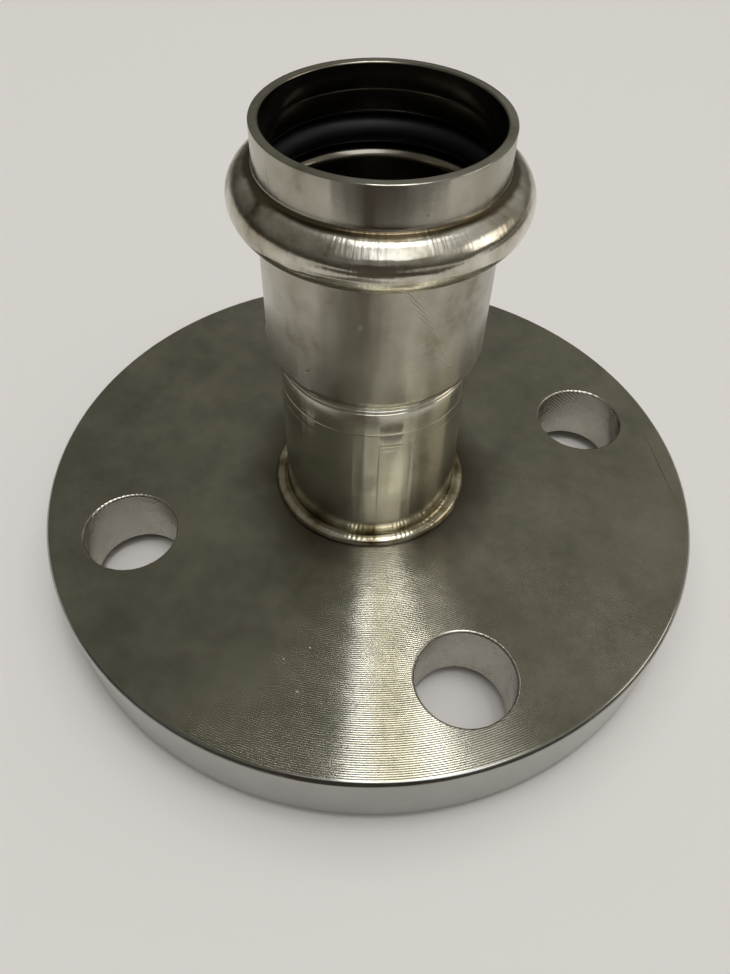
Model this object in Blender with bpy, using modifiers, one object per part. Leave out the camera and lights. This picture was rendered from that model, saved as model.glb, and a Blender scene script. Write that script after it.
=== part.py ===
# Press flange adapter: a bolted flange plate welded to a formed tube with a press socket.
# Metres, +Z up along the pipe, origin at the centre of the flange's sealing face.
import math

import bpy

# Pipe size that the socket takes and that the tube is made from
PIPE_RADIUS = 0.0170
PIPE_PLAY = 0.0003
WALL = 0.0015

# Clearance between pieces that rest on or in each other
FIT_GAP = 0.0003

# Bolt holes
BOLT_COUNT = 4
BOLT_CIRCLE_RADIUS = 0.050
BOLT_HOLE_RADIUS = 0.009
BOLT_HOLE_CHAMFER = 0.00075
FIRST_BOLT_ANGLE = math.radians(45)

# Flange plate
PLATE_THICKNESS = 0.014
RIM_LAND = 0.007
RIM_CHAMFER = 0.0006
FACE_HEIGHT = 0.002
FACE_LAND = 0.002
FACE_CHAMFER = 0.0003

# Stub: heights along the tube, measured from the plate's back or from the mouth
STUB_LENGTH = 0.0752
SOCKET_DEPTH = 0.0372
BEAD_DEPTH = 0.0109
TAIL_SETBACK = 0.0035

# Rounding of the formed tube, on its outer skin
BEAD_TOP_FILLET = 0.0022
BEAD_FOOT_FILLET = 0.0007
SHOULDER_ROUND = 0.0026
NECK_FILLET = 0.0012
LIP_EDGE = 0.0002
LIP_LEAD = 0.0003

# Seal ring and the room it has in the bead
SEAL_RADIUS = 0.0022
SEAL_SQUEEZE = 0.0002
SEAL_SIDE_ROOM = 0.0006

# Welds
FILLET_WIDTH = 0.0024
FILLET_HEIGHT = 0.0014
ROOT_HOLLOW = 0.0010
ROOT_LAND = 0.0004

# Facets
PLATE_STEPS = 96
TUBE_STEPS = 64
HOLE_STEPS = 32
SEAL_STEPS = 10
BEAD_STEPS = 10
FILLET_STEPS = 3
NECK_STEPS = 2
WELD_STEPS = 8
ROOT_STEPS = 4
CUT_OVERRUN = 0.001
SHARP_ANGLE = math.radians(30)
MERGE_DISTANCE = 0.00001

# Sizes that follow from the ones above
BORE_RADIUS = PIPE_RADIUS + FIT_GAP
PLATE_RADIUS = BOLT_CIRCLE_RADIUS + BOLT_HOLE_RADIUS + RIM_LAND
FACE_RADIUS = BOLT_CIRCLE_RADIUS - BOLT_HOLE_RADIUS - FACE_LAND
PLATE_FRONT = FACE_HEIGHT
PLATE_BACK = FACE_HEIGHT + PLATE_THICKNESS
MOUTH_HEIGHT = PLATE_BACK + STUB_LENGTH
SOCKET_RADIUS = PIPE_RADIUS + PIPE_PLAY + WALL
SEAL_CENTRE_RADIUS = PIPE_RADIUS - SEAL_SQUEEZE + SEAL_RADIUS
BEAD_ROUND = SEAL_RADIUS + SEAL_SIDE_ROOM + WALL
BEAD_CREST_RADIUS = SEAL_CENTRE_RADIUS + SEAL_RADIUS + FIT_GAP + WALL
BEAD_HEIGHT = MOUTH_HEIGHT - BEAD_DEPTH
SHOULDER_HEIGHT = MOUTH_HEIGHT - SOCKET_DEPTH


def start_clean():
    """Empty the scene and return the collections for the parts and for their cutters."""
    for thing in list(bpy.data.objects):
        bpy.data.objects.remove(thing, do_unlink=True)
    parts = bpy.data.collections.new("press_flange_adapter")
    cutters = bpy.data.collections.new("cutters")
    bpy.context.scene.collection.children.link(parts)
    bpy.context.scene.collection.children.link(cutters)
    return parts, cutters


def finish_material(name, colour, roughness, metallic):
    """Principled material with one colour."""
    material = bpy.data.materials.new(name)
    material.use_nodes = True
    shader = material.node_tree.nodes["Principled BSDF"]
    shader.inputs["Base Color"].default_value = (*colour, 1.0)
    shader.inputs["Roughness"].default_value = roughness
    shader.inputs["Metallic"].default_value = metallic
    return material


def arc(centre, radius, start, end, steps):
    """Points (radius, height) on a round stretch of a turned profile, angles in radians."""
    points = []
    for step in range(steps + 1):
        angle = start + (end - start) * step / steps
        points.append((centre[0] + radius * math.cos(angle), centre[1] + radius * math.sin(angle)))
    return points


def heading(tail, head):
    """Angle of the line from one profile point to another."""
    return math.atan2(head[1] - tail[1], head[0] - tail[0])


def bake(piece):
    """Turn the piece's modifiers into its mesh, smooth except at real edges."""
    depsgraph = bpy.context.evaluated_depsgraph_get()
    mesh = bpy.data.meshes.new_from_object(piece.evaluated_get(depsgraph))
    piece.modifiers.clear()
    piece.data = mesh
    mesh.shade_smooth()
    mesh.set_sharp_from_angle(angle=SHARP_ANGLE)


def turn(name, outline, steps, collection):
    """Solid of revolution about Z from a closed outline that runs down its outer side."""
    mesh = bpy.data.meshes.new(name)
    rows = [(radius, 0.0, height) for radius, height in outline]
    edges = [(index, (index + 1) % len(rows)) for index in range(len(rows))]
    mesh.from_pydata(rows, edges, [])
    piece = bpy.data.objects.new(name, mesh)
    collection.objects.link(piece)
    screw = piece.modifiers.new("turn", "SCREW")
    screw.axis = "Z"
    screw.angle = math.tau
    screw.steps = steps
    screw.render_steps = steps
    screw.use_merge_vertices = True
    screw.merge_threshold = MERGE_DISTANCE
    bake(piece)
    return piece


def bolt_hole_cutter(index, collection):
    """Drill with a countersink at both faces, standing on the bolt circle."""
    low = PLATE_FRONT - CUT_OVERRUN
    high = PLATE_BACK + CUT_OVERRUN
    flare = BOLT_HOLE_RADIUS + BOLT_HOLE_CHAMFER + CUT_OVERRUN
    profile = [
        (0.0, high),
        (flare, high),
        (BOLT_HOLE_RADIUS, PLATE_BACK - BOLT_HOLE_CHAMFER),
        (BOLT_HOLE_RADIUS, PLATE_FRONT + BOLT_HOLE_CHAMFER),
        (flare, low),
        (0.0, low),
    ]
    cutter = turn(f"bolt_drill_{index}", profile, HOLE_STEPS, collection)
    angle = FIRST_BOLT_ANGLE + math.tau * index / BOLT_COUNT
    cutter.location = (BOLT_CIRCLE_RADIUS * math.cos(angle), BOLT_CIRCLE_RADIUS * math.sin(angle), 0.0)
    cutter.hide_render = True
    cutter.display_type = "WIRE"
    return cutter


def flange_plate(parts, cutters):
    """Turned plate with a raised sealing face below, then drilled for its bolts."""
    profile = [
        (BORE_RADIUS, PLATE_BACK),
        (PLATE_RADIUS - RIM_CHAMFER, PLATE_BACK),
        (PLATE_RADIUS, PLATE_BACK - RIM_CHAMFER),
        (PLATE_RADIUS, PLATE_FRONT + RIM_CHAMFER),
        (PLATE_RADIUS - RIM_CHAMFER, PLATE_FRONT),
        (FACE_RADIUS, PLATE_FRONT),
        (FACE_RADIUS, FACE_CHAMFER),
        (FACE_RADIUS - FACE_CHAMFER, 0.0),
        (BORE_RADIUS, 0.0),
    ]
    plate = turn("flange_plate", profile, PLATE_STEPS, parts)
    for index in range(BOLT_COUNT):
        cut = plate.modifiers.new(f"bolt_hole_{index}", "BOOLEAN")
        cut.operation = "DIFFERENCE"
        cut.solver = "EXACT"
        cut.object = bolt_hole_cutter(index, cutters)
    bake(plate)
    return plate


def tube_skin(inset):
    """Mouth-to-tail line of the formed tube, moved in from its outer skin by inset."""
    bead = (BEAD_CREST_RADIUS - BEAD_ROUND, BEAD_HEIGHT)
    top_reach = BEAD_ROUND + BEAD_TOP_FILLET
    top_radius = SOCKET_RADIUS + BEAD_TOP_FILLET
    top = (top_radius, BEAD_HEIGHT + math.sqrt(top_reach**2 - (top_radius - bead[0]) ** 2))
    foot_reach = BEAD_ROUND + BEAD_FOOT_FILLET
    foot_radius = SOCKET_RADIUS + BEAD_FOOT_FILLET
    foot = (foot_radius, BEAD_HEIGHT - math.sqrt(foot_reach**2 - (foot_radius - bead[0]) ** 2))
    shoulder = (SOCKET_RADIUS - SHOULDER_ROUND, SHOULDER_HEIGHT)
    neck_reach = SHOULDER_ROUND + NECK_FILLET
    neck_radius = PIPE_RADIUS + NECK_FILLET
    neck = (neck_radius, SHOULDER_HEIGHT - math.sqrt(neck_reach**2 - (neck_radius - shoulder[0]) ** 2))

    into_bead = heading(bead, top)
    out_of_bead = heading(bead, foot)
    into_neck = heading(shoulder, neck)
    line = arc(top, BEAD_TOP_FILLET + inset, math.pi, math.pi + into_bead, FILLET_STEPS)
    line += arc(bead, BEAD_ROUND - inset, into_bead, out_of_bead, BEAD_STEPS)[1:]
    line += arc(foot, BEAD_FOOT_FILLET + inset, math.pi + out_of_bead, math.pi, FILLET_STEPS)[1:]
    line += arc(shoulder, SHOULDER_ROUND - inset, 0.0, into_neck, FILLET_STEPS)
    line += arc(neck, NECK_FILLET + inset, math.pi + into_neck, math.pi, NECK_STEPS)[1:]
    return line


def press_socket(parts):
    """Formed tube: plain mouth band, bead for the seal, socket, shoulder and straight tail."""
    inner_radius = SOCKET_RADIUS - WALL
    tail_inner = PIPE_RADIUS - WALL
    outline = [
        (SOCKET_RADIUS - LIP_EDGE, MOUTH_HEIGHT),
        (SOCKET_RADIUS, MOUTH_HEIGHT - LIP_EDGE),
    ]
    outline += tube_skin(0.0)
    outline += [(PIPE_RADIUS, TAIL_SETBACK), (tail_inner, TAIL_SETBACK)]
    outline += reversed(tube_skin(WALL))
    outline += [
        (inner_radius, MOUTH_HEIGHT - LIP_LEAD),
        (inner_radius + LIP_LEAD, MOUTH_HEIGHT),
    ]
    return turn("press_socket", outline, TUBE_STEPS, parts)


def seal_ring(parts):
    """Rubber ring held in the bead."""
    bpy.ops.mesh.primitive_torus_add(
        location=(0.0, 0.0, BEAD_HEIGHT),
        major_radius=SEAL_CENTRE_RADIUS,
        minor_radius=SEAL_RADIUS,
        major_segments=TUBE_STEPS,
        minor_segments=SEAL_STEPS,
    )
    ring = bpy.context.active_object
    ring.name = "seal_ring"
    for owner in list(ring.users_collection):
        owner.objects.unlink(ring)
    parts.objects.link(ring)
    ring.data.shade_smooth()
    return ring


def fillet_weld(parts):
    """Rope of weld metal in the corner between the tube and the plate's back."""
    foot_height = PLATE_BACK + FIT_GAP
    middle = PIPE_RADIUS + FIT_GAP + FILLET_WIDTH / 2
    rope = arc((0.0, 0.0), 1.0, math.pi, 0.0, WELD_STEPS)
    outline = [(middle + across * FILLET_WIDTH / 2, foot_height + up * FILLET_HEIGHT) for across, up in rope]
    return turn("fillet_weld", outline, TUBE_STEPS, parts)


def root_weld(parts):
    """Weld metal in the bore between the tube's end and the plate, hollow towards the sealing face."""
    top = TAIL_SETBACK - FIT_GAP
    outer = BORE_RADIUS - FIT_GAP
    inner = PIPE_RADIUS - WALL
    hollow = min(ROOT_HOLLOW, outer - inner - ROOT_LAND)
    low = top - hollow - ROOT_LAND
    outline = arc((inner, low), hollow, math.pi / 2, 0.0, ROOT_STEPS)
    outline += [(outer, low), (outer, top), (inner, top)]
    outline.reverse()
    return turn("root_weld", outline, TUBE_STEPS, parts)


def build():
    """Make each piece and give it its material."""
    parts, cutters = start_clean()
    turned_steel = finish_material("turned_stainless", (0.42, 0.41, 0.37), 0.34, 1.0)
    drawn_steel = finish_material("drawn_stainless", (0.56, 0.54, 0.50), 0.24, 1.0)
    weld_steel = finish_material("weld_stainless", (0.58, 0.53, 0.42), 0.28, 1.0)
    seal_rubber = finish_material("black_rubber", (0.012, 0.012, 0.013), 0.45, 0.0)
    finishes = [
        (flange_plate(parts, cutters), turned_steel),
        (press_socket(parts), drawn_steel),
        (seal_ring(parts), seal_rubber),
        (fillet_weld(parts), weld_steel),
        (root_weld(parts), weld_steel),
    ]
    for piece, material in finishes:
        piece.data.materials.clear()
        piece.data.materials.append(material)


build()
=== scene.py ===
# Press flange adapter: a lathe-faced stainless flange plate, welded to a formed stainless tube
# that ends in a press socket. Metres, +Z up along the pipe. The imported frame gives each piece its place.
import math

import bpy
from mathutils import Matrix, Vector


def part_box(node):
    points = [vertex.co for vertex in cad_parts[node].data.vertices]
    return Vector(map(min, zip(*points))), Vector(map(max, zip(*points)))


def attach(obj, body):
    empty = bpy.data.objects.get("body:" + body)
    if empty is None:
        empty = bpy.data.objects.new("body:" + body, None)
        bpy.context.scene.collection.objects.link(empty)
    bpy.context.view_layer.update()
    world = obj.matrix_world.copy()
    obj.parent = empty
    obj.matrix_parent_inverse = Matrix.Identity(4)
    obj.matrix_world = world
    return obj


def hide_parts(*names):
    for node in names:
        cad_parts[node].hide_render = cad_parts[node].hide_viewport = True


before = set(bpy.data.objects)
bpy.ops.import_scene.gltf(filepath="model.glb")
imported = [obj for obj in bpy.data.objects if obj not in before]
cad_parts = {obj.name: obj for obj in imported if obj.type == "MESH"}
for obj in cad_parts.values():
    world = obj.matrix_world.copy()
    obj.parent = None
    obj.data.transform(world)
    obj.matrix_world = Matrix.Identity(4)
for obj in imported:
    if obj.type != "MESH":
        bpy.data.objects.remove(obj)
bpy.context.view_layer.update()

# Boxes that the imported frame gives
plate_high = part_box("flange_plate")[1]
socket_low, socket_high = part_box("press_socket")
seal_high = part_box("seal_ring")[1]
weld_low, weld_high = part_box("fillet_weld")

# Flange plate
PLATE_RADIUS = plate_high.x
PLATE_BACK = plate_high.z
PLATE_BORE = 0.0173
RIM_CHAMFER = 0.0006
MACHINED_EDGE = 0.00025
FACE_HEIGHT = 0.002
FACE_LAND = 0.002
FACE_CHAMFER = 0.0003

# Bolt holes, countersunk below and rounded on the plate's back, where the round starts at a slope
BOLT_COUNT = 4
BOLT_CIRCLE_RADIUS = 0.050
BOLT_HOLE_RADIUS = 0.009
BOLT_HOLE_CHAMFER = 0.00075
BOLT_HOLE_ROUND = 0.0005
ROUND_LEAD = 0.25
FIRST_BOLT_ANGLE = math.radians(45)
FACE_RADIUS = BOLT_CIRCLE_RADIUS - BOLT_HOLE_RADIUS - FACE_LAND

# Formed tube
PIPE_RADIUS = 0.0170
PIPE_PLAY = 0.0003
WALL = 0.0015
SOCKET_RADIUS = PIPE_RADIUS + PIPE_PLAY + WALL
TUBE_END = socket_low.z
MOUTH_HEIGHT = socket_high.z
BEAD_CREST_RADIUS = 0.0230
BEAD_ROUND = 0.0043
BEAD_HEIGHT = MOUTH_HEIGHT - 0.0109
BEAD_TOP_FILLET = 0.0007
GROOVE_TOP_FILLET = 0.0012
BEAD_FOOT_FILLET = 0.0007
SHOULDER_HEIGHT = MOUTH_HEIGHT - 0.0372
SHOULDER_ROUND = 0.0026
NECK_FILLET = 0.0012
LIP_EDGE = 0.0002
LIP_LEAD = 0.0003

# Two rolled rings on the tube's tail, and how much of each is left at the front
TAIL_RINGS = (0.0421, 0.0446)
TAIL_RING_DEPTH = 0.00006
TAIL_RING_WIDTH = 0.0005
TAIL_RING_FRONT_SHARES = (0.1, 0.4)

# Two sharper rings close under the neck, and a crease inside the mouth band
NECK_RINGS = (0.0495, 0.0503)
NECK_RING_DEPTH = 0.0002
NECK_RING_WIDTH = 0.0005
CREASE_HEIGHT = MOUTH_HEIGHT - 0.0039
CREASE_DEPTH = 0.00007
CREASE_WIDTH = 0.0007

# Seal ring and its parting line
SEAL_RADIUS = 0.0022
SEAL_CENTRE_RADIUS = seal_high.x - SEAL_RADIUS
PARTING_LINE_HEIGHT = 0.00004
PARTING_LINE_SPREAD = 0.06

# Weld rope: ripples across its travel, deeper in some stretches than in others
ROPE_RIPPLES = 110
RIPPLE_DEPTH = 0.035
RIPPLE_BOW = 0.9
RIPPLE_DRIFT = 1.3
DRIFTS_ROUND = 9
RIPPLE_UNEVEN = 0.4
STRETCHES_ROUND = 23
STRETCH_DRIFTS_ROUND = 5

# Slow swells round the rope, as times round, phase and share, and how far they change height and spread
ROPE_SWELLS = ((3, 0.7, 0.5), (7, 2.1, 0.3), (17, 0.0, 0.2))
SWELL_HEIGHT = 0.07
SWELL_SPREAD = 0.03

# Share of its height that the rope keeps against the tube
ROPE_HEEL = 0.6

# Facets round the turned pieces
PLATE_STEPS = 256
TUBE_STEPS = 256
HOLE_STEPS = 96
SAMPLES_PER_RIPPLE = 8

# Facets along the round stretches of their outlines
BEAD_STEPS = 40
TOP_FILLET_STEPS = 14
FOOT_FILLET_STEPS = 8
SHOULDER_STEPS = 12
NECK_STEPS = 8
LIP_STEPS = 5
LEAD_STEPS = 6
HOLE_ROUND_STEPS = 5
EASING_STEPS = 6
DIP_STEPS = 12
SEAL_STEPS = 48
ROPE_ROWS = 14

# Making the meshes
CUT_OVERRUN = 0.001
MERGE_DISTANCE = 0.00001
SHARP_ANGLE = math.radians(30)
ROPE_SHARP_ANGLE = math.radians(60)
MOST_OF_SIDE = 0.45

# Where one finish gives way to the next
LEVEL_NORMAL = 0.95
RIM_FINISH_RADIUS = PLATE_RADIUS - RIM_CHAMFER * 1.5
BORE_FINISH_RADIUS = BEAD_CREST_RADIUS - WALL * 0.9
BRUSHED_REACH = BEAD_ROUND + BEAD_TOP_FILLET * 0.4
BRIGHT_TOP = SHOULDER_HEIGHT - SHOULDER_ROUND * 0.5
INWARD_SLACK = 0.0001

# Marks on the plate's back, in millimetres: x, y, length, width, and turn in degrees
PLATE_NICKS = (
    (-49.37, -31.22, 1.1, 0.35, 35),
    (-47.71, -28.52, 0.9, 0.3, 50),
    (-47.08, -27.09, 0.6, 0.3, 40),
    (10.48, -50.55, 0.6, 0.45, 0),
    (8.41, -42.24, 0.35, 0.25, 0),
    (5.34, -46.21, 0.3, 0.3, 0),
    (20.57, -48.47, 0.5, 0.5, 0),
    (46.2, -7.73, 2.1, 0.25, 5),
    (54.7, 29.4, 24.0, 0.25, -57.6),
)

# Marks on the tube: azimuth in degrees, height, length and width in millimetres, and slope from level
BODY_SCORES = (
    (-99.6, 57.3, 2.6, 0.25, 35),
    (-99.6, 57.3, 2.2, 0.25, -30),
    (-99.6, 57.3, 1.8, 0.2, 85),
    (-72.8, 68.9, 1.0, 0.25, 60),
    (-46.8, 86.7, 0.4, 0.4, 0),
    (-119.8, 87.4, 7.0, 0.2, 90),
)
TAIL_SMEARS = (
    (-55.5, 41.4, 3.6, 0.5, 0),
    (-54.0, 40.3, 3.0, 0.5, 0),
    (-61.2, 33.0, 27.0, 0.25, 90),
    (-41.6, 34.0, 22.0, 0.25, 90),
)
BORE_SEAMS = (
    (151.0, 87.4, 7.0, 0.3, 90),
    (153.0, 87.4, 6.0, 0.3, 90),
)

# Oblique strokes side by side on the body: the first one's azimuth and height, the step, and their size
STROKE_COUNT = 9
FIRST_STROKE = (-49.2, 73.6)
STROKE_STEP = (2.4, -1.65)
STROKE_SIZE = (8.0, 0.15, -50)

# Millimetres in a metre
MILLIMETRES = 1000

# How far a mark reaches into its surface, the part of it at full depth, and how deep a score goes
PLATE_MARK_REACH = 1.0
TUBE_MARK_REACH = 0.01
MARK_CORE = 0.4
SCORE_DEPTH = 0.00004

# Machined finish: how the feed wanders, the grain in the cut, and what a nick does, as shares of a mark
FEED_DRIFT_SIZE = 1 / 120
FEED_DRIFT = 0.8
CUT_GRAIN_SIZE = 0.0003
CUT_GRAIN = 0.05
NICK_DEPTH = 0.15
NICK_DULLING = 0.45

# Stains on the metals: their rough sizes, and how much the roughness changes with them
PLATE_STAIN_SIZE = 1 / 60
TUBE_STAIN_SIZE = 1 / 110
WELD_STAIN_SIZE = 1 / 170
BLOOM_SIZE = 1 / 300
NOISE_LOW = 0.3
NOISE_HIGH = 0.7
MACHINED_VARIES = (-0.02, 0.03)
FORMED_VARIES = (0.04, -0.03)

# Brown heat tint on the plate, out from the weld, and painted shade: a brown darkening in the crease above
# the bead
HEAT_TINT_REACH = 0.034
HEAT_TINT_STRENGTH = 1.0
HEAT_TINT_RAGGED = 0.006
CREASE_SHADE_OUTER = 0.0214
CREASE_SHADE_INNER = 0.0208
CREASE_SHADE_RAGGED = 0.002

# Quarter turn that stretches highlights across the rings of a turned surface, or none for along them
ACROSS_RINGS = 0.25
ALONG_RINGS = 0.0

# Dark card, measured with the camera's heading: upright as right and up, the rest as right and away
CARD_AWAY = -0.142
CARD_LIFT = 0.0005
SIDE_LIFT = 0.003
CARD_UPRIGHT = (
    (-0.032, 0.0),
    (-0.005, 0.0),
    (-0.003, 0.005),
    (0.034, 0.009),
    (0.20, 0.016),
    (0.20, 0.05),
    (0.052, 0.058),
    (0.040, 0.10),
    (0.010, 0.128),
    (-0.012, 0.118),
    (-0.050, 0.135),
    (-0.045, 0.06),
    (-0.12, 0.05),
    (-0.12, 0.016),
    (-0.036, 0.009),
)
CARD_FOOT = (
    (-0.032, CARD_AWAY),
    (-0.005, CARD_AWAY),
    (0.010, -0.115),
    (0.026, -0.086),
    (0.0, -0.085),
    (-0.025, -0.081),
    (-0.048, -0.070),
    (-0.070, -0.048),
    (-0.084, -0.056),
    (-0.078, -0.08),
    (-0.055, -0.108),
)
CARD_SIDE = ((0.33, -0.06), (0.80, -0.14), (0.80, 0.46), (0.44, 0.40), (0.30, 0.16))

# The foot carries a painted shadow that only the metal's reflections show: darkest at a middle, paler
# outward; what stands above the floor is dark all over
PAINTED_SHADOW_MIDDLE = (-0.036, -0.105, 0.0)
PAINTED_SHADOW_CORE = 0.022
PAINTED_SHADOW_EDGE = 0.068
FELT_PALE = 0.9
FELT_LOW = 0.001
FELT_HIGH = 0.002

# Floor, and the height and depth that the overhead panels share
FLOOR_RADIUS = 1.5
FLOOR_STEPS = 96
LAMP_HEIGHT = 1.5
LAMP_AWAY = -0.03
LAMP_DEPTH = 0.42

# Where the picture is taken from: a heading round the object, then a height and a slight roll
CAMERA_TURN = math.radians(24.443)
CAMERA_ELEVATION = math.radians(50.116)
CAMERA_ROLL = math.radians(1.770)
CAMERA_DISTANCE = 0.16272
CAMERA_AIM_HEIGHT = 0.021812
CAMERA_SHIFT_RIGHT = -0.001159
CAMERA_SHIFT_UP = -0.007103
CAMERA_CLIP = 0.01
LENS_MM = 29.254

# Sockets of the colour Mix node, which Blender numbers
MIX_FACTOR = 0
MIX_A = 6
MIX_B = 7
MIX_RESULT = 2


def srgb(code):
    """Linear colour from an sRGB hex code such as #8a8a8a."""
    values = [int(code[place : place + 2], 16) / 255 for place in (1, 3, 5)]
    return tuple(value / 12.92 if value <= 0.04045 else ((value + 0.055) / 1.055) ** 2.4 for value in values)


def arc(centre, radius, start, end, steps):
    """Points (radius, height) on a round stretch of a turned profile, angles in radians."""
    points = []
    for step in range(steps + 1):
        angle = start + (end - start) * step / steps
        points.append((centre[0] + radius * math.cos(angle), centre[1] + radius * math.sin(angle)))
    return points


def heading(tail, head):
    """Angle of the line from one profile point to another."""
    return math.atan2(head[1] - tail[1], head[0] - tail[0])


def eased(outline, reach):
    """Closed outline with every corner rounded over by reach on each side."""
    points = []
    for index, corner in enumerate(outline):
        here = Vector(corner)
        before = Vector(outline[index - 1])
        after = Vector(outline[(index + 1) % len(outline)])
        start = here + (before - here).normalized() * min(reach, (before - here).length * MOST_OF_SIDE)
        end = here + (after - here).normalized() * min(reach, (after - here).length * MOST_OF_SIDE)
        for step in range(EASING_STEPS + 1):
            along = step / EASING_STEPS
            bend = start * (1 - along) ** 2 + here * 2 * along * (1 - along) + end * along**2
            points.append(tuple(bend))
    return points


def dips(radius, heights, depth, width):
    """Points down a straight wall that has a small rounded dip at each height."""
    points = []
    for height in sorted(heights, reverse=True):
        for step in range(DIP_STEPS + 1):
            across = 2 * step / DIP_STEPS - 1
            dip = depth * (1 + math.cos(math.pi * across)) / 2
            points.append((radius - dip, height - across * width / 2))
    return points


def bake(piece):
    """Turn the piece's modifiers into its mesh, smooth except at real edges."""
    depsgraph = bpy.context.evaluated_depsgraph_get()
    mesh = bpy.data.meshes.new_from_object(piece.evaluated_get(depsgraph))
    piece.modifiers.clear()
    piece.data = mesh
    mesh.shade_smooth()
    mesh.set_sharp_from_angle(angle=SHARP_ANGLE)


def turn(name, outline, steps):
    """Solid of revolution about Z from a closed outline that runs down its outer side."""
    mesh = bpy.data.meshes.new(name)
    rows = [(radius, 0.0, height) for radius, height in outline]
    edges = [(index, (index + 1) % len(rows)) for index in range(len(rows))]
    mesh.from_pydata(rows, edges, [])
    piece = bpy.data.objects.new(name, mesh)
    bpy.context.scene.collection.objects.link(piece)
    screw = piece.modifiers.new("turn", "SCREW")
    screw.axis = "Z"
    screw.angle = math.tau
    screw.steps = steps
    screw.render_steps = steps
    screw.use_merge_vertices = True
    screw.merge_threshold = MERGE_DISTANCE
    bake(piece)
    return piece


def bolt_hole_places():
    """Centres of the bolt holes in the plate's plane."""
    places = []
    for index in range(BOLT_COUNT):
        angle = FIRST_BOLT_ANGLE + math.tau * index / BOLT_COUNT
        centre = (BOLT_CIRCLE_RADIUS * math.cos(angle), BOLT_CIRCLE_RADIUS * math.sin(angle), 0.0)
        places.append(Vector(centre))
    return places


def drill_outline():
    """Outline of the tool that cuts a bolt hole: rounded edge above, countersink below."""
    flare = BOLT_HOLE_RADIUS + BOLT_HOLE_CHAMFER
    edge_centre = (BOLT_HOLE_RADIUS + BOLT_HOLE_ROUND, PLATE_BACK - BOLT_HOLE_ROUND)
    edge = arc(edge_centre, BOLT_HOLE_ROUND, math.pi / 2 + ROUND_LEAD, math.pi, HOLE_ROUND_STEPS)
    run_out = (CUT_OVERRUN * math.cos(ROUND_LEAD), CUT_OVERRUN * math.sin(ROUND_LEAD))
    wall = [(edge[0][0] + run_out[0], edge[0][1] + run_out[1])] + edge
    wall += [
        (BOLT_HOLE_RADIUS, FACE_HEIGHT + BOLT_HOLE_CHAMFER),
        (flare, FACE_HEIGHT),
        (flare + CUT_OVERRUN, FACE_HEIGHT - CUT_OVERRUN),
    ]
    return [(0.0, wall[0][1])] + wall + [(0.0, wall[-1][1])]


def flange_plate():
    """Turned plate with eased edges and a raised sealing face below, drilled for its bolts."""
    profile = [
        (PLATE_BORE, PLATE_BACK),
        (PLATE_RADIUS - RIM_CHAMFER, PLATE_BACK),
        (PLATE_RADIUS, PLATE_BACK - RIM_CHAMFER),
        (PLATE_RADIUS, FACE_HEIGHT + RIM_CHAMFER),
        (PLATE_RADIUS - RIM_CHAMFER, FACE_HEIGHT),
        (FACE_RADIUS, FACE_HEIGHT),
        (FACE_RADIUS, FACE_CHAMFER),
        (FACE_RADIUS - FACE_CHAMFER, 0.0),
        (PLATE_BORE, 0.0),
    ]
    plate = turn("turned_flange_plate", eased(profile, MACHINED_EDGE), PLATE_STEPS)
    outline = drill_outline()
    for index, place in enumerate(bolt_hole_places()):
        drill = turn(f"bolt_drill_{index}", outline, HOLE_STEPS)
        drill.location = place
        cut = plate.modifiers.new("bolt_hole", "BOOLEAN")
        cut.operation = "DIFFERENCE"
        cut.solver = "EXACT"
        cut.object = drill
        bpy.context.view_layer.update()
        bake(plate)
        bpy.data.objects.remove(drill, do_unlink=True)
    flatten = plate.modifiers.new("flat_faces", "WEIGHTED_NORMAL")
    flatten.mode = "FACE_AREA"
    flatten.keep_sharp = True
    return plate


def tube_skin(inset, top_fillet):
    """Mouth-to-tail line of the formed tube, moved in from its outer skin by inset."""
    bead = (BEAD_CREST_RADIUS - BEAD_ROUND, BEAD_HEIGHT)
    top_reach = BEAD_ROUND - inset + top_fillet
    top_radius = SOCKET_RADIUS - inset + top_fillet
    top = (top_radius, BEAD_HEIGHT + math.sqrt(top_reach**2 - (top_radius - bead[0]) ** 2))
    foot_reach = BEAD_ROUND + BEAD_FOOT_FILLET
    foot_radius = SOCKET_RADIUS + BEAD_FOOT_FILLET
    foot = (foot_radius, BEAD_HEIGHT - math.sqrt(foot_reach**2 - (foot_radius - bead[0]) ** 2))
    shoulder = (SOCKET_RADIUS - SHOULDER_ROUND, SHOULDER_HEIGHT)
    neck_reach = SHOULDER_ROUND + NECK_FILLET
    neck_radius = PIPE_RADIUS + NECK_FILLET
    neck = (neck_radius, SHOULDER_HEIGHT - math.sqrt(neck_reach**2 - (neck_radius - shoulder[0]) ** 2))
    into_bead = heading(bead, top)
    out_of_bead = heading(bead, foot)
    into_neck = heading(shoulder, neck)
    line = arc(top, top_fillet, math.pi, math.pi + into_bead, TOP_FILLET_STEPS)
    line += arc(bead, BEAD_ROUND - inset, into_bead, out_of_bead, BEAD_STEPS)[1:]
    line += arc(foot, BEAD_FOOT_FILLET + inset, math.pi + out_of_bead, math.pi, FOOT_FILLET_STEPS)[1:]
    line += arc(shoulder, SHOULDER_ROUND - inset, 0.0, into_neck, SHOULDER_STEPS)
    line += arc(neck, NECK_FILLET + inset, math.pi + into_neck, math.pi, NECK_STEPS)[1:]
    return line


def fade_tail_rings(socket):
    """The rolling pressed less on the front, where both rings fade, the lower one most."""
    front = CAMERA_TURN - math.pi / 2
    for point in socket.data.vertices:
        radius = math.hypot(point.co.x, point.co.y)
        for height, least in zip(TAIL_RINGS, TAIL_RING_FRONT_SHARES):
            if abs(point.co.z - height) < TAIL_RING_WIDTH / 2 and radius > PIPE_RADIUS - WALL / 2:
                turned = math.atan2(point.co.y, point.co.x) - front
                pressed = least + (1 - least) * math.sin(turned) ** 2
                even = (PIPE_RADIUS - (PIPE_RADIUS - radius) * pressed) / radius
                point.co.x *= even
                point.co.y *= even


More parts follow.
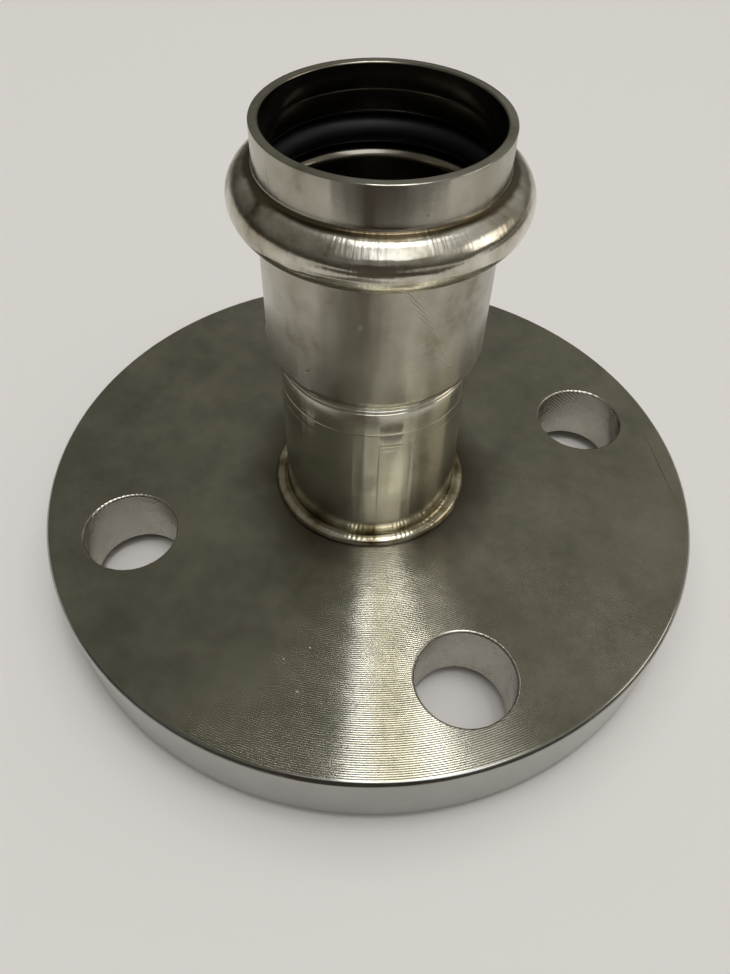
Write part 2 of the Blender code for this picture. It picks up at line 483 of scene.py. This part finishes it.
def press_socket():
    """Formed tube: lip, plain mouth band, bead, socket body, shoulder and tail with its rolled rings."""
    inner = SOCKET_RADIUS - WALL
    outline = arc((SOCKET_RADIUS - LIP_EDGE, MOUTH_HEIGHT - LIP_EDGE), LIP_EDGE, math.pi / 2, 0.0, LIP_STEPS)
    outline += tube_skin(0.0, BEAD_TOP_FILLET)
    outline += dips(PIPE_RADIUS, NECK_RINGS, NECK_RING_DEPTH, NECK_RING_WIDTH)
    outline += dips(PIPE_RADIUS, TAIL_RINGS, TAIL_RING_DEPTH, TAIL_RING_WIDTH)
    outline += [(PIPE_RADIUS, TUBE_END), (PIPE_RADIUS - WALL, TUBE_END)]
    outline += reversed(tube_skin(WALL, GROOVE_TOP_FILLET))
    outline += reversed(dips(inner, [CREASE_HEIGHT], -CREASE_DEPTH, CREASE_WIDTH))
    lead_centre = (inner + LIP_LEAD, MOUTH_HEIGHT - LIP_LEAD)
    outline += arc(lead_centre, LIP_LEAD, math.pi, math.pi / 2, LEAD_STEPS)
    socket = turn("formed_press_socket", outline, TUBE_STEPS)
    fade_tail_rings(socket)
    return socket


def seal_ring():
    """Moulded rubber ring with a fine parting line round its inside."""
    outline = []
    for step in range(SEAL_STEPS):
        angle = math.pi / 2 - math.tau * step / SEAL_STEPS
        line = PARTING_LINE_HEIGHT * math.exp(-((math.sin(angle) / PARTING_LINE_SPREAD) ** 2))
        reach = SEAL_RADIUS + (line if math.cos(angle) < 0 else 0.0)
        outline.append((SEAL_CENTRE_RADIUS + reach * math.cos(angle), BEAD_HEIGHT + reach * math.sin(angle)))
    return turn("moulded_seal_ring", outline, TUBE_STEPS)


def rope_section(angle):
    """Points across the weld rope at an angle round the tube, from its foot at the tube outward."""
    foot = weld_low.z
    height = weld_high.z - weld_low.z
    middle = (PIPE_RADIUS + weld_high.x) / 2
    half_width = (weld_high.x - PIPE_RADIUS) / 2
    wander = sum(share * math.sin(times * angle + phase) for times, phase, share in ROPE_SWELLS)
    stretch = math.sin(STRETCHES_ROUND * angle + math.sin(STRETCH_DRIFTS_ROUND * angle))
    uneven = 1 - RIPPLE_UNEVEN + RIPPLE_UNEVEN * stretch
    drift = RIPPLE_DRIFT * math.sin(DRIFTS_ROUND * angle)
    section = [(PIPE_RADIUS, foot)]
    for row in range(ROPE_ROWS + 1):
        side = 2 * row / ROPE_ROWS - 1
        phase = ROPE_RIPPLES * angle / 2 + RIPPLE_BOW * side * side + drift
        ripple = 1 - RIPPLE_DEPTH * uneven * (1 - abs(math.sin(phase)))
        swell = (1 - SWELL_HEIGHT + SWELL_HEIGHT * wander) * ripple
        if side > 0:
            lift = math.sqrt(max(0.0, 1 - side * side))
            spread = 1 - SWELL_SPREAD + SWELL_SPREAD * wander
        else:
            lift = 1 - (1 - ROPE_HEEL) * side * side
            spread = 1.0
        section.append((middle + side * half_width * spread, foot + height * lift * swell))
    return section


def weld_rope():
    """Ring of weld metal that lies against the tube, with soft uneven ripples across its travel."""
    around = ROPE_RIPPLES * SAMPLES_PER_RIPPLE
    points = []
    for turn_step in range(around):
        angle = math.tau * turn_step / around
        for reach, up in rope_section(angle):
            points.append((reach * math.cos(angle), reach * math.sin(angle), up))
    width = ROPE_ROWS + 2
    faces = []
    for turn_step in range(around):
        this = turn_step * width
        that = (turn_step + 1) % around * width
        for row in range(width - 1):
            faces.append((this + row, that + row, that + row + 1, this + row + 1))
        faces.append((this + width - 1, that + width - 1, that, this))
    mesh = bpy.data.meshes.new("rippled_weld_rope")
    mesh.from_pydata(points, [], faces)
    mesh.flip_normals()
    mesh.shade_smooth()
    mesh.set_sharp_from_angle(angle=ROPE_SHARP_ANGLE)
    piece = bpy.data.objects.new("rippled_weld_rope", mesh)
    bpy.context.scene.collection.objects.link(piece)
    return piece


def put(tree, kind, feeds=None, output=0, stops=None, **settings):
    """Add a node with its settings and colour stops, feed its inputs, and return one of its outputs."""
    node = tree.nodes.new(kind)
    for name, value in settings.items():
        setattr(node, name, value)
    for index, (position, colour) in enumerate(stops or []):
        ramp = node.color_ramp.elements
        stop = ramp[index] if index < len(ramp) else ramp.new(position)
        stop.position = position
        stop.color = (*colour, 1.0)
    for socket, value in (feeds or {}).items():
        if isinstance(value, bpy.types.NodeSocket):
            tree.links.new(value, node.inputs[socket])
        else:
            node.inputs[socket].default_value = value
    return node.outputs[output]


def new_material(name, **values):
    """Principled material with its plain sockets set; returns the material, its tree and its shader."""
    material = bpy.data.materials.new(name)
    material.use_nodes = True
    tree = material.node_tree
    shader = tree.nodes["Principled BSDF"]
    for socket, value in values.items():
        shader.inputs[socket.replace("_", " ")].default_value = value
    return material, tree, shader


def marks(tree, place, rows):
    """Field that is 1 in each small mark and 0 elsewhere; a row is a mark's middle, turn and half sizes."""
    field = 0.0
    for middle, turned, half_sizes in rows:
        feeds = {"Vector": place, "Location": middle, "Rotation": turned, "Scale": half_sizes}
        local = put(tree, "ShaderNodeMapping", feeds, vector_type="TEXTURE")
        reach = put(tree, "ShaderNodeVectorMath", {0: local}, "Value", operation="LENGTH")
        spot = put(tree, "ShaderNodeMapRange", {"Value": reach, "From Min": 1.0, "From Max": MARK_CORE})
        field = put(tree, "ShaderNodeMath", {0: field, 1: spot}, operation="MAXIMUM")
    return field


def on_plate(x, y, length, width, angle):
    """Row for a mark on the plate's back, from sizes in millimetres and an angle in degrees."""
    middle = (x / MILLIMETRES, y / MILLIMETRES, PLATE_BACK)
    half_sizes = (length / MILLIMETRES / 2, width / MILLIMETRES / 2, PLATE_MARK_REACH)
    return middle, (0.0, 0.0, math.radians(angle)), half_sizes


def on_tube(azimuth, height, length, width, slope):
    """Row for a mark on the tube, from sizes in millimetres and angles in degrees."""
    around = math.radians(azimuth)
    middle = (SOCKET_RADIUS * math.cos(around), SOCKET_RADIUS * math.sin(around), height / MILLIMETRES)
    half_sizes = (TUBE_MARK_REACH, length / MILLIMETRES / 2, width / MILLIMETRES / 2)
    return middle, (math.radians(slope), 0.0, around), half_sizes


def body_marks():
    """Rows for the scores on the socket's body and for the oblique strokes beside them."""
    rows = [on_tube(*row) for row in BODY_SCORES]
    for line in range(STROKE_COUNT):
        azimuth = FIRST_STROKE[0] + STROKE_STEP[0] * line
        height = FIRST_STROKE[1] + STROKE_STEP[1] * line
        rows.append(on_tube(azimuth, height, *STROKE_SIZE))
    return rows


def machined_stainless(name, anisotropy, roughness, colours, feed, depth, lean=0.0, scars=()):
    """304 stainless cut by a turning tool: rings of feed marks that stretch each highlight across them."""
    material, tree, shader = new_material(name, Metallic=1.0, Anisotropic=anisotropy)
    place = put(tree, "ShaderNodeTexCoord", output="Object")
    level = put(tree, "ShaderNodeVectorMath", {0: place, 1: (1.0, 1.0, 0.0)}, operation="MULTIPLY")
    radius = put(tree, "ShaderNodeVectorMath", {0: level}, "Value", operation="LENGTH")
    height = put(tree, "ShaderNodeSeparateXYZ", {0: place}, "Z")
    travel = put(tree, "ShaderNodeMath", {0: radius, 1: height}, operation="ADD")

    # The round nose of the tool leaves a scallop at each turn; the feed wanders a little
    feeds = {"W": travel, "Scale": 1 / FEED_DRIFT_SIZE}
    drift = put(tree, "ShaderNodeTexNoise", feeds, noise_dimensions="1D")
    turns = put(tree, "ShaderNodeMath", {0: travel, 1: 1 / feed}, operation="MULTIPLY")
    phase = put(tree, "ShaderNodeMath", {0: drift, 1: FEED_DRIFT, 2: turns}, operation="MULTIPLY_ADD")
    saw = put(tree, "ShaderNodeMath", {0: phase}, operation="FRACT")
    centred = put(tree, "ShaderNodeMath", {0: saw, 1: 0.5}, operation="SUBTRACT")
    scallop = put(tree, "ShaderNodeMath", {0: centred, 1: centred}, operation="MULTIPLY")
    feeds = {"W": travel, "Scale": 1 / CUT_GRAIN_SIZE, "Detail": 3.0}
    grain = put(tree, "ShaderNodeTexNoise", feeds, noise_dimensions="1D")
    cut = put(tree, "ShaderNodeMath", {0: grain, 1: CUT_GRAIN, 2: scallop}, operation="MULTIPLY_ADD")
    scar = marks(tree, place, scars)
    cut = put(tree, "ShaderNodeMath", {0: scar, 1: -NICK_DEPTH, 2: cut}, operation="MULTIPLY_ADD")

    # Each turn leans a little its own way along the cut, which combs the highlight's edges
    step = put(tree, "ShaderNodeMath", {0: phase}, operation="FLOOR")
    own = put(tree, "ShaderNodeTexWhiteNoise", {"W": step}, "Value", noise_dimensions="1D")
    own_lean = put(tree, "ShaderNodeMapRange", {"Value": own, "To Min": -lean, "To Max": lean})
    round_axis = put(tree, "ShaderNodeTangent", direction_type="RADIAL", axis="Z")
    push = put(tree, "ShaderNodeVectorMath", {0: round_axis, "Scale": own_lean}, operation="SCALE")
    facing = put(tree, "ShaderNodeNewGeometry", output="Normal")
    leant = put(tree, "ShaderNodeVectorMath", {0: facing, 1: push}, operation="ADD")
    leant = put(tree, "ShaderNodeVectorMath", {0: leant}, operation="NORMALIZE")
    relief = put(tree, "ShaderNodeBump", {"Strength": 1.0, "Distance": depth, "Height": cut, "Normal": leant})

    # Handling stains a few millimetres wide, and a brown heat tint that fades out from the weld
    feeds = {"Vector": place, "Scale": 1 / PLATE_STAIN_SIZE, "Detail": 8.0, "Roughness": 0.7}
    cloud = put(tree, "ShaderNodeTexNoise", feeds)
    stops = [(0.35, srgb(colours[0])), (0.65, srgb(colours[1]))]
    stain = put(tree, "ShaderNodeValToRGB", {0: cloud}, stops=stops)
    ragged = put(tree, "ShaderNodeMath", {0: cloud, 1: HEAT_TINT_RAGGED, 2: radius}, operation="MULTIPLY_ADD")
    feeds = {"Value": ragged, "From Min": HEAT_TINT_REACH, "From Max": PIPE_RADIUS}
    feeds["To Max"] = HEAT_TINT_STRENGTH
    heat = put(tree, "ShaderNodeMapRange", feeds, interpolation_type="SMOOTHSTEP")
    feeds = {MIX_FACTOR: heat, MIX_A: stain, MIX_B: (*srgb("#50483c"), 1.0)}
    tinted = put(tree, "ShaderNodeMix", feeds, MIX_RESULT, data_type="RGBA")
    feeds = {"Value": cloud, "From Min": NOISE_LOW, "From Max": NOISE_HIGH}
    feeds["To Min"] = roughness + MACHINED_VARIES[0]
    feeds["To Max"] = roughness + MACHINED_VARIES[1]
    dull = put(tree, "ShaderNodeMapRange", feeds)
    dull = put(tree, "ShaderNodeMath", {0: scar, 1: NICK_DULLING, 2: dull}, operation="MULTIPLY_ADD")
    tree.links.new(tinted, shader.inputs["Base Color"])
    tree.links.new(dull, shader.inputs["Roughness"])
    tree.links.new(relief, shader.inputs["Normal"])
    tree.links.new(round_axis, shader.inputs["Tangent"])
    shader.inputs["Anisotropic Rotation"].default_value = ACROSS_RINGS
    return material


def crease_painted_shade(tree, place, level, cloud, stain):
    """Painted shade: a ragged brown darkening of the crease above the bead, where shade falls."""
    radius = put(tree, "ShaderNodeVectorMath", {0: level}, "Value", operation="LENGTH")
    feeds = {0: cloud, 1: CREASE_SHADE_RAGGED, 2: radius}
    ragged = put(tree, "ShaderNodeMath", feeds, operation="MULTIPLY_ADD")
    feeds = {"Value": ragged, "From Min": CREASE_SHADE_OUTER, "From Max": CREASE_SHADE_INNER}
    close = put(tree, "ShaderNodeMapRange", feeds)
    height = put(tree, "ShaderNodeSeparateXYZ", {0: place}, "Z")
    above = put(tree, "ShaderNodeMath", {0: height, 1: BEAD_HEIGHT}, operation="GREATER_THAN")
    brown = put(tree, "ShaderNodeMath", {0: close, 1: above}, operation="MULTIPLY")
    feeds = {MIX_FACTOR: brown, MIX_A: stain, MIX_B: (*srgb("#645a46"), 1.0)}
    return put(tree, "ShaderNodeMix", feeds, MIX_RESULT, data_type="RGBA")


def formed_stainless(
    name,
    anisotropy,
    turned,
    roughness,
    colours,
    stroke,
    stroke_depth,
    wave,
    wave_depth,
    scars=(),
    crease=False,
):
    """304 stainless tube, drawn and formed: fine strokes over the soft waves that forming leaves.

    Strokes and waves each have a width round the tube and a length along it, in metres.
    """
    material, tree, shader = new_material(name, Metallic=1.0, Anisotropic=anisotropy)
    place = put(tree, "ShaderNodeTexCoord", output="Object")

    # The tube's radius is evened out, so that marks keep their width over the bead
    level = put(tree, "ShaderNodeVectorMath", {0: place, 1: (1.0, 1.0, 0.0)}, operation="MULTIPLY")
    outward = put(tree, "ShaderNodeVectorMath", {0: level}, operation="NORMALIZE")
    rise = put(tree, "ShaderNodeVectorMath", {0: place, 1: (0.0, 0.0, 1.0)}, operation="MULTIPLY")
    even = (SOCKET_RADIUS, SOCKET_RADIUS, SOCKET_RADIUS)
    evened = put(tree, "ShaderNodeVectorMath", {0: outward, 1: even, 2: rise}, operation="MULTIPLY_ADD")

    fine = (1 / stroke[0], 1 / stroke[0], 1 / stroke[1])
    coarse = (1 / wave[0], 1 / wave[0], 1 / wave[1])
    fine_place = put(tree, "ShaderNodeVectorMath", {0: evened, 1: fine}, operation="MULTIPLY")
    coarse_place = put(tree, "ShaderNodeVectorMath", {0: evened, 1: coarse}, operation="MULTIPLY")
    strokes = put(tree, "ShaderNodeTexNoise", {"Vector": fine_place, "Scale": 1.0, "Detail": 3.0})
    waves = put(tree, "ShaderNodeTexNoise", {"Vector": coarse_place, "Scale": 1.0, "Detail": 2.0})
    scar = marks(tree, place, scars)
    feeds = {0: scar, 1: -SCORE_DEPTH / stroke_depth, 2: strokes}
    scored = put(tree, "ShaderNodeMath", feeds, operation="MULTIPLY_ADD")
    relief = put(tree, "ShaderNodeBump", {"Strength": 1.0, "Distance": wave_depth, "Height": waves})
    feeds = {"Strength": 1.0, "Distance": stroke_depth, "Height": scored, "Normal": relief}
    relief = put(tree, "ShaderNodeBump", feeds)

    feeds = {"Vector": place, "Scale": 1 / TUBE_STAIN_SIZE, "Detail": 4.0, "Roughness": 0.6}
    cloud = put(tree, "ShaderNodeTexNoise", feeds)
    stops = [(0.33, srgb(colours[0])), (0.43, srgb(colours[1])), (0.65, srgb(colours[2]))]
    stain = put(tree, "ShaderNodeValToRGB", {0: cloud}, stops=stops)
    # Painted shade: the crease above the bead is darkened brown
    if crease:
        stain = crease_painted_shade(tree, place, level, cloud, stain)
    feeds = {"Value": cloud, "From Min": NOISE_LOW, "From Max": NOISE_HIGH}
    feeds["To Min"] = roughness + FORMED_VARIES[0]
    feeds["To Max"] = roughness + FORMED_VARIES[1]
    dull = put(tree, "ShaderNodeMapRange", feeds)
    round_axis = put(tree, "ShaderNodeTangent", direction_type="RADIAL", axis="Z")
    tree.links.new(stain, shader.inputs["Base Color"])
    tree.links.new(dull, shader.inputs["Roughness"])
    tree.links.new(relief, shader.inputs["Normal"])
    tree.links.new(round_axis, shader.inputs["Tangent"])
    shader.inputs["Anisotropic Rotation"].default_value = turned
    return material


def weld_stainless():
    """Weld metal, brushed clean of scale: bright, with a straw and brown heat tint in patches."""
    material, tree, shader = new_material("weld_straw_stainless", Metallic=1.0, Roughness=0.16)
    place = put(tree, "ShaderNodeTexCoord", output="Object")
    feeds = {"Vector": place, "Scale": 1 / WELD_STAIN_SIZE, "Detail": 4.0}
    cloud = put(tree, "ShaderNodeTexNoise", feeds)
    stops = [(0.35, srgb("#75694f")), (0.48, srgb("#b3ab92")), (0.65, srgb("#dbd7c6"))]
    tint = put(tree, "ShaderNodeValToRGB", {0: cloud}, stops=stops)
    relief = put(tree, "ShaderNodeBump", {"Strength": 1.0, "Distance": 0.00008, "Height": cloud})
    tree.links.new(tint, shader.inputs["Base Color"])
    tree.links.new(relief, shader.inputs["Normal"])
    return material


def moulded_rubber():
    """Black EPDM, moulded: matt with a faint bluish bloom; its grain is drawn coarser than the real one."""
    material, tree, shader = new_material("moulded_black_epdm", Roughness=0.5, IOR=1.52)
    place = put(tree, "ShaderNodeTexCoord", output="Object")
    bloom = put(tree, "ShaderNodeTexNoise", {"Vector": place, "Scale": 1 / BLOOM_SIZE, "Detail": 4.0})
    stops = [(NOISE_LOW, srgb("#08080a")), (NOISE_HIGH, srgb("#101116"))]
    shade = put(tree, "ShaderNodeValToRGB", {0: bloom}, stops=stops)
    relief = put(tree, "ShaderNodeBump", {"Strength": 0.5, "Distance": 0.00002, "Height": bloom})
    shader.inputs["Specular IOR Level"].default_value = 0.3
    tree.links.new(shade, shader.inputs["Base Color"])
    tree.links.new(relief, shader.inputs["Normal"])
    return material


def plate_finishes():
    """Finishes of the plate: lathe-faced sides, drilled holes and turned rim."""
    # Faced on a lathe, 0.385 mm a turn: rings that show, and highlights drawn out into a wedge across them
    lathe = machined_stainless(
        "lathe_faced_stainless",
        anisotropy=1.0,
        roughness=0.20,
        colours=("#949183", "#b2afa0"),
        feed=0.000385,
        depth=0.00009,
        lean=0.002,
        scars=[on_plate(*row) for row in PLATE_NICKS],
    )

    # Drilled: paler and duller, with rings down the hole, drawn three times as coarse as real ones to show
    drilled = machined_stainless(
        "drilled_stainless",
        anisotropy=0.6,
        roughness=0.27,
        colours=("#aaa69b", "#c3bfb4"),
        feed=0.0009,
        depth=0.00014,
    )

    # Rim turned with a fine feed: smooth, and it mirrors the floor; its rings are drawn coarser too
    rim = machined_stainless(
        "turned_rim_stainless",
        anisotropy=0.8,
        roughness=0.14,
        colours=("#9b9b96", "#aaaaa6"),
        feed=0.0006,
        depth=0.00001,
    )
    return [lathe, drilled, rim]


def tube_finishes():
    """Finishes of the tube: satin body, brushed bead, bright tail and dull bore.

    Real strokes are under 0.1 mm wide, and all are drawn coarser here, so that they show.
    """
    # Satin: a soft broad sheen up and down the tube, with faint stains
    satin = formed_stainless(
        "satin_drawn_stainless",
        anisotropy=0.7,
        turned=ACROSS_RINGS,
        roughness=0.23,
        colours=("#918b7c", "#a7a396", "#b7b4a8"),
        stroke=(0.0012, 0.0008),
        stroke_depth=0.000012,
        wave=(0.005, 0.03),
        wave_depth=0.0002,
        scars=body_marks(),
    )

    # Brushed over the bead after forming: the highlight breaks into short strokes, and brown stays in spots
    brushed = formed_stainless(
        "brushed_bead_stainless",
        anisotropy=0.8,
        turned=ALONG_RINGS,
        roughness=0.2,
        colours=("#5c513f", "#aca696", "#e2dfd4"),
        stroke=(0.0005, 0.0035),
        stroke_depth=0.00005,
        wave=(0.008, 0.004),
        wave_depth=0.00026,
        # Painted shade: brown darkening in the crease above the bead
        crease=True,
    )

    # Bright as drawn: clear streaks along the tail, with two smears and two seams
    bright = formed_stainless(
        "bright_drawn_stainless",
        anisotropy=0.3,
        turned=ACROSS_RINGS,
        roughness=0.18,
        colours=("#a6a292", "#bcb9ab", "#cac7bb"),
        stroke=(0.0011, 0.04),
        stroke_depth=0.00003,
        wave=(0.004, 0.06),
        wave_depth=0.0002,
        scars=[on_tube(*row) for row in TAIL_SMEARS],
    )

    # Pickled inside and never polished: darker, with narrow glints on the bead's groove
    bore = formed_stainless(
        "dull_bore_stainless",
        anisotropy=0.0,
        turned=ACROSS_RINGS,
        roughness=0.2,
        colours=("#6b6658", "#7d786c", "#918c80"),
        stroke=(0.004, 0.0004),
        stroke_depth=0.000008,
        wave=(0.008, 0.02),
        wave_depth=0.00005,
        scars=[on_tube(*row) for row in BORE_SEAMS],
    )
    return [satin, brushed, bright, bore]


def dress(piece, materials, choose=None):
    """Give the piece its materials; choose says which one a face takes from its centre and normal."""
    piece.data.materials.clear()
    for material in materials:
        piece.data.materials.append(material)
    for face in piece.data.polygons:
        face.material_index = choose(face.center, face.normal) if choose else 0


def plate_finish(centre, normal):
    """0 lathe-faced sides, 1 walls and rounded edges of the bolt holes, 2 rim with its chamfers."""
    if abs(normal.z) >= LEVEL_NORMAL:
        return 0
    for place in bolt_hole_places():
        if math.hypot(centre.x - place.x, centre.y - place.y) < BOLT_HOLE_RADIUS + BOLT_HOLE_CHAMFER:
            return 1
    return 2 if math.hypot(centre.x, centre.y) > RIM_FINISH_RADIUS else 0


def tube_finish(centre, normal):
    """0 satin band and body, 1 brushed bead, 2 bright tail, 3 inside of the tube."""
    outward = centre.x * normal.x + centre.y * normal.y
    if outward < -INWARD_SLACK * abs(normal.z) and math.hypot(centre.x, centre.y) < BORE_FINISH_RADIUS:
        return 3
    if abs(centre.z - BEAD_HEIGHT) < BRUSHED_REACH:
        return 1
    return 2 if centre.z < BRIGHT_TOP else 0


def from_camera_side(right, away, up):
    """Point in the object's frame from one measured with the picture's own heading."""
    return Matrix.Rotation(CAMERA_TURN, 3, "Z") @ Vector((right, away, up))


def light_panel(name, middle, width, depth, glow, colour, lights=("diffuse", "glossy"), tip=0.0, axis="X"):
    """Panel lamp that faces down or is tipped about an axis, all measured with the camera's heading.

    Glow is its brightness. A panel that lights only "glossy" is a reflector for the metal, and one that
    lights only "diffuse" fills the floor.
    """
    data = bpy.data.lights.new(name, "AREA")
    data.shape = "RECTANGLE"
    data.size = width
    data.size_y = depth
    data.energy = glow * width * depth * math.pi
    data.color = srgb(colour)
    lamp = bpy.data.objects.new(name, data)
    hung = Matrix.Translation(from_camera_side(*middle)) @ Matrix.Rotation(CAMERA_TURN, 4, "Z")
    lamp.matrix_world = hung @ Matrix.Rotation(math.radians(tip), 4, axis)
    lamp.visible_diffuse = "diffuse" in lights
    lamp.visible_glossy = "glossy" in lights
    bpy.context.scene.collection.objects.link(lamp)


def dark_felt_painted_shadow():
    """Matt felt, dark above the floor; on the foot a painted shadow, dark at its middle and paler out along
    the foot.
    """
    material, tree, shader = new_material("dark_felt_painted_shadow", Roughness=1.0)
    place = put(tree, "ShaderNodeTexCoord", output="Object")
    middle = tuple(from_camera_side(*PAINTED_SHADOW_MIDDLE))
    reach = put(tree, "ShaderNodeVectorMath", {0: place, 1: middle}, "Value", operation="DISTANCE")
    height = put(tree, "ShaderNodeSeparateXYZ", {0: place}, "Z")
    raised = put(tree, "ShaderNodeMapRange", {"Value": height, "From Min": FELT_LOW, "From Max": FELT_HIGH})
    # Painted shadow on the foot: darkest near its middle, paler out to its edge
    feeds = {"Value": reach, "From Min": PAINTED_SHADOW_CORE, "From Max": PAINTED_SHADOW_EDGE, "To Max": FELT_PALE}
    shadow_falloff = put(tree, "ShaderNodeMapRange", feeds)
    flat = put(tree, "ShaderNodeMath", {0: shadow_falloff, 1: raised}, operation="SUBTRACT")
    stops = [(0.0, srgb("#665d54")), (FELT_PALE, srgb("#cfccc8"))]
    felt = put(tree, "ShaderNodeValToRGB", {0: flat}, stops=stops)
    tree.links.new(felt, shader.inputs["Base Color"])
    shader.inputs["Specular IOR Level"].default_value = 0.0
    return material


def dark_card():
    """Dark card that shiny metal mirrors and the camera never sees.

    It has an upright low on the camera's side, a foot on the floor before it that carries a painted shadow,
    and a sheet far to the right.
    """
    outlines = [
        [from_camera_side(right, CARD_AWAY, CARD_LIFT + up) for right, up in CARD_UPRIGHT],
        [from_camera_side(right, away, CARD_LIFT) for right, away in CARD_FOOT],
        [from_camera_side(right, away, SIDE_LIFT) for right, away in CARD_SIDE],
    ]
    corners = []
    faces = []
    for outline in outlines:
        faces.append(tuple(range(len(corners), len(corners) + len(outline))))
        corners += outline
    mesh = bpy.data.meshes.new("dark_card")
    mesh.from_pydata(corners, [], faces)
    mesh.materials.append(dark_felt_painted_shadow())
    card = bpy.data.objects.new("dark_card", mesh)
    card.visible_camera = False
    card.visible_shadow = False
    card.visible_diffuse = False
    bpy.context.scene.collection.objects.link(card)


def pale_floor():
    """Floor of matt white paper, one disc: even, pale and free of gloss."""
    bpy.ops.mesh.primitive_circle_add(vertices=FLOOR_STEPS, radius=FLOOR_RADIUS, fill_type="NGON")
    floor = bpy.context.active_object
    floor.name = "floor"
    material, tree, shader = new_material("plain_pale_floor", Roughness=0.9)
    shader.inputs["Base Color"].default_value = (*srgb("#e6e3e1"), 1.0)
    shader.inputs["Specular IOR Level"].default_value = 0.0
    floor.data.materials.append(material)


def studio():
    """Four overhead panels, two behind the camera, a window at the right and a fill for the floor."""
    metal_only = ("glossy",)
    floor_only = ("diffuse",)

    # Name, place to the right, width, glow, colour, and what it lights when that isn't everything
    overhead = [
        ("overhead_left", -0.015, 0.09, 11.6, "#f2f6ff"),
        ("overhead_middle", 0.11, 0.16, 6.7, "#fffcee"),
        ("overhead_right", 0.25, 0.12, 12.8, "#fbfcff"),
        ("overhead_edge", 0.43, 0.24, 1.9, "#fbfcff", metal_only),
    ]
    for name, right, width, *rest in overhead:
        light_panel(name, (right, LAMP_AWAY, LAMP_HEIGHT), width, LAMP_DEPTH, *rest)
    light_panel("behind_camera", (0.46, -0.9, 1.64), 1.10, 1.5, 1.3, "#f8faff", metal_only, 30)
    light_panel("behind_camera_glow", (0.25, -0.95, 1.72), 1.4, 1.5, 0.5, "#fbfcff", metal_only, 30)
    light_panel("right_window", (1.2, -0.1, 0.55), 0.5, 0.6, 1.8, "#fff6e8", metal_only, 67, "Y")
    light_panel("floor_fill", (0.0, 0.2, 2.5), 3.2, 3.2, 1.2, "#fffefc", floor_only)


def dim_room():
    """World that the metal mirrors: walls paler on the right, and darker low down."""
    world = bpy.data.worlds.new("dim_room")
    world.use_nodes = True
    tree = world.node_tree
    outward = put(tree, "ShaderNodeTexCoord", output="Generated")
    across = tuple(from_camera_side(1.0, 0.0, 0.0))
    side = put(tree, "ShaderNodeVectorMath", {0: outward, 1: across}, "Value", operation="DOT_PRODUCT")
    along = put(tree, "ShaderNodeMapRange", {"Value": side, "From Min": -1.0, "From Max": 1.0})
    stops = [(0.45, srgb("#75736c")), (0.8, srgb("#a3a19a"))]
    walls = put(tree, "ShaderNodeValToRGB", {0: along}, stops=stops)
    height = put(tree, "ShaderNodeSeparateXYZ", {0: outward}, "Z")
    stops = [(0.08, srgb("#918d85")), (0.38, srgb("#ffffff"))]
    shade = put(tree, "ShaderNodeValToRGB", {0: height}, stops=stops)
    room = put(tree, "ShaderNodeVectorMath", {0: walls, 1: shade}, operation="MULTIPLY")
    tree.links.new(room, tree.nodes["Background"].inputs["Color"])
    bpy.context.scene.world = world


def camera():
    """Camera at the picture's viewing angle, close above the part."""
    back = Vector((0.0, -math.cos(CAMERA_ELEVATION), math.sin(CAMERA_ELEVATION)))
    right = Vector((1.0, 0.0, 0.0))
    up = back.cross(right)
    rolled_right = right * math.cos(CAMERA_ROLL) + up * math.sin(CAMERA_ROLL)
    rolled_up = up * math.cos(CAMERA_ROLL) - right * math.sin(CAMERA_ROLL)
    place = Vector((0.0, 0.0, CAMERA_AIM_HEIGHT)) + back * CAMERA_DISTANCE
    place += rolled_right * CAMERA_SHIFT_RIGHT + rolled_up * CAMERA_SHIFT_UP
    turned = Matrix.Rotation(CAMERA_TURN, 4, "Z")
    data = bpy.data.cameras.new("camera")
    data.lens = LENS_MM
    data.clip_start = CAMERA_CLIP
    taker = bpy.data.objects.new("camera", data)
    axes = Matrix((rolled_right, rolled_up, back)).transposed().to_4x4()
    taker.matrix_world = turned @ Matrix.Translation(place) @ axes
    bpy.context.scene.collection.objects.link(taker)
    bpy.context.scene.camera = taker


def build():
    """Make each piece, finish it and let it stand for its solid; the root weld keeps its own."""
    weld = weld_stainless()
    plate = flange_plate()
    dress(plate, plate_finishes(), plate_finish)
    socket = press_socket()
    dress(socket, tube_finishes(), tube_finish)
    seal = seal_ring()
    dress(seal, [moulded_rubber()])
    rope = weld_rope()
    dress(rope, [weld])
    rows = [
        (plate, "flange_plate", "turned_steel"),
        (socket, "press_socket", "drawn_steel"),
        (seal, "seal_ring", "seal_rubber"),
        (rope, "fillet_weld", "weld_steel"),
    ]
    for piece, node, slot in rows:
        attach(piece, "root")
        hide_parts(node)
    root_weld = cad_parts["root_weld"]
    root_weld.data.materials.clear()
    root_weld.data.materials.append(weld)


build()
pale_floor()
dark_card()
studio()
dim_room()
camera()
bpy.context.scene.view_settings.view_transform = "Standard"
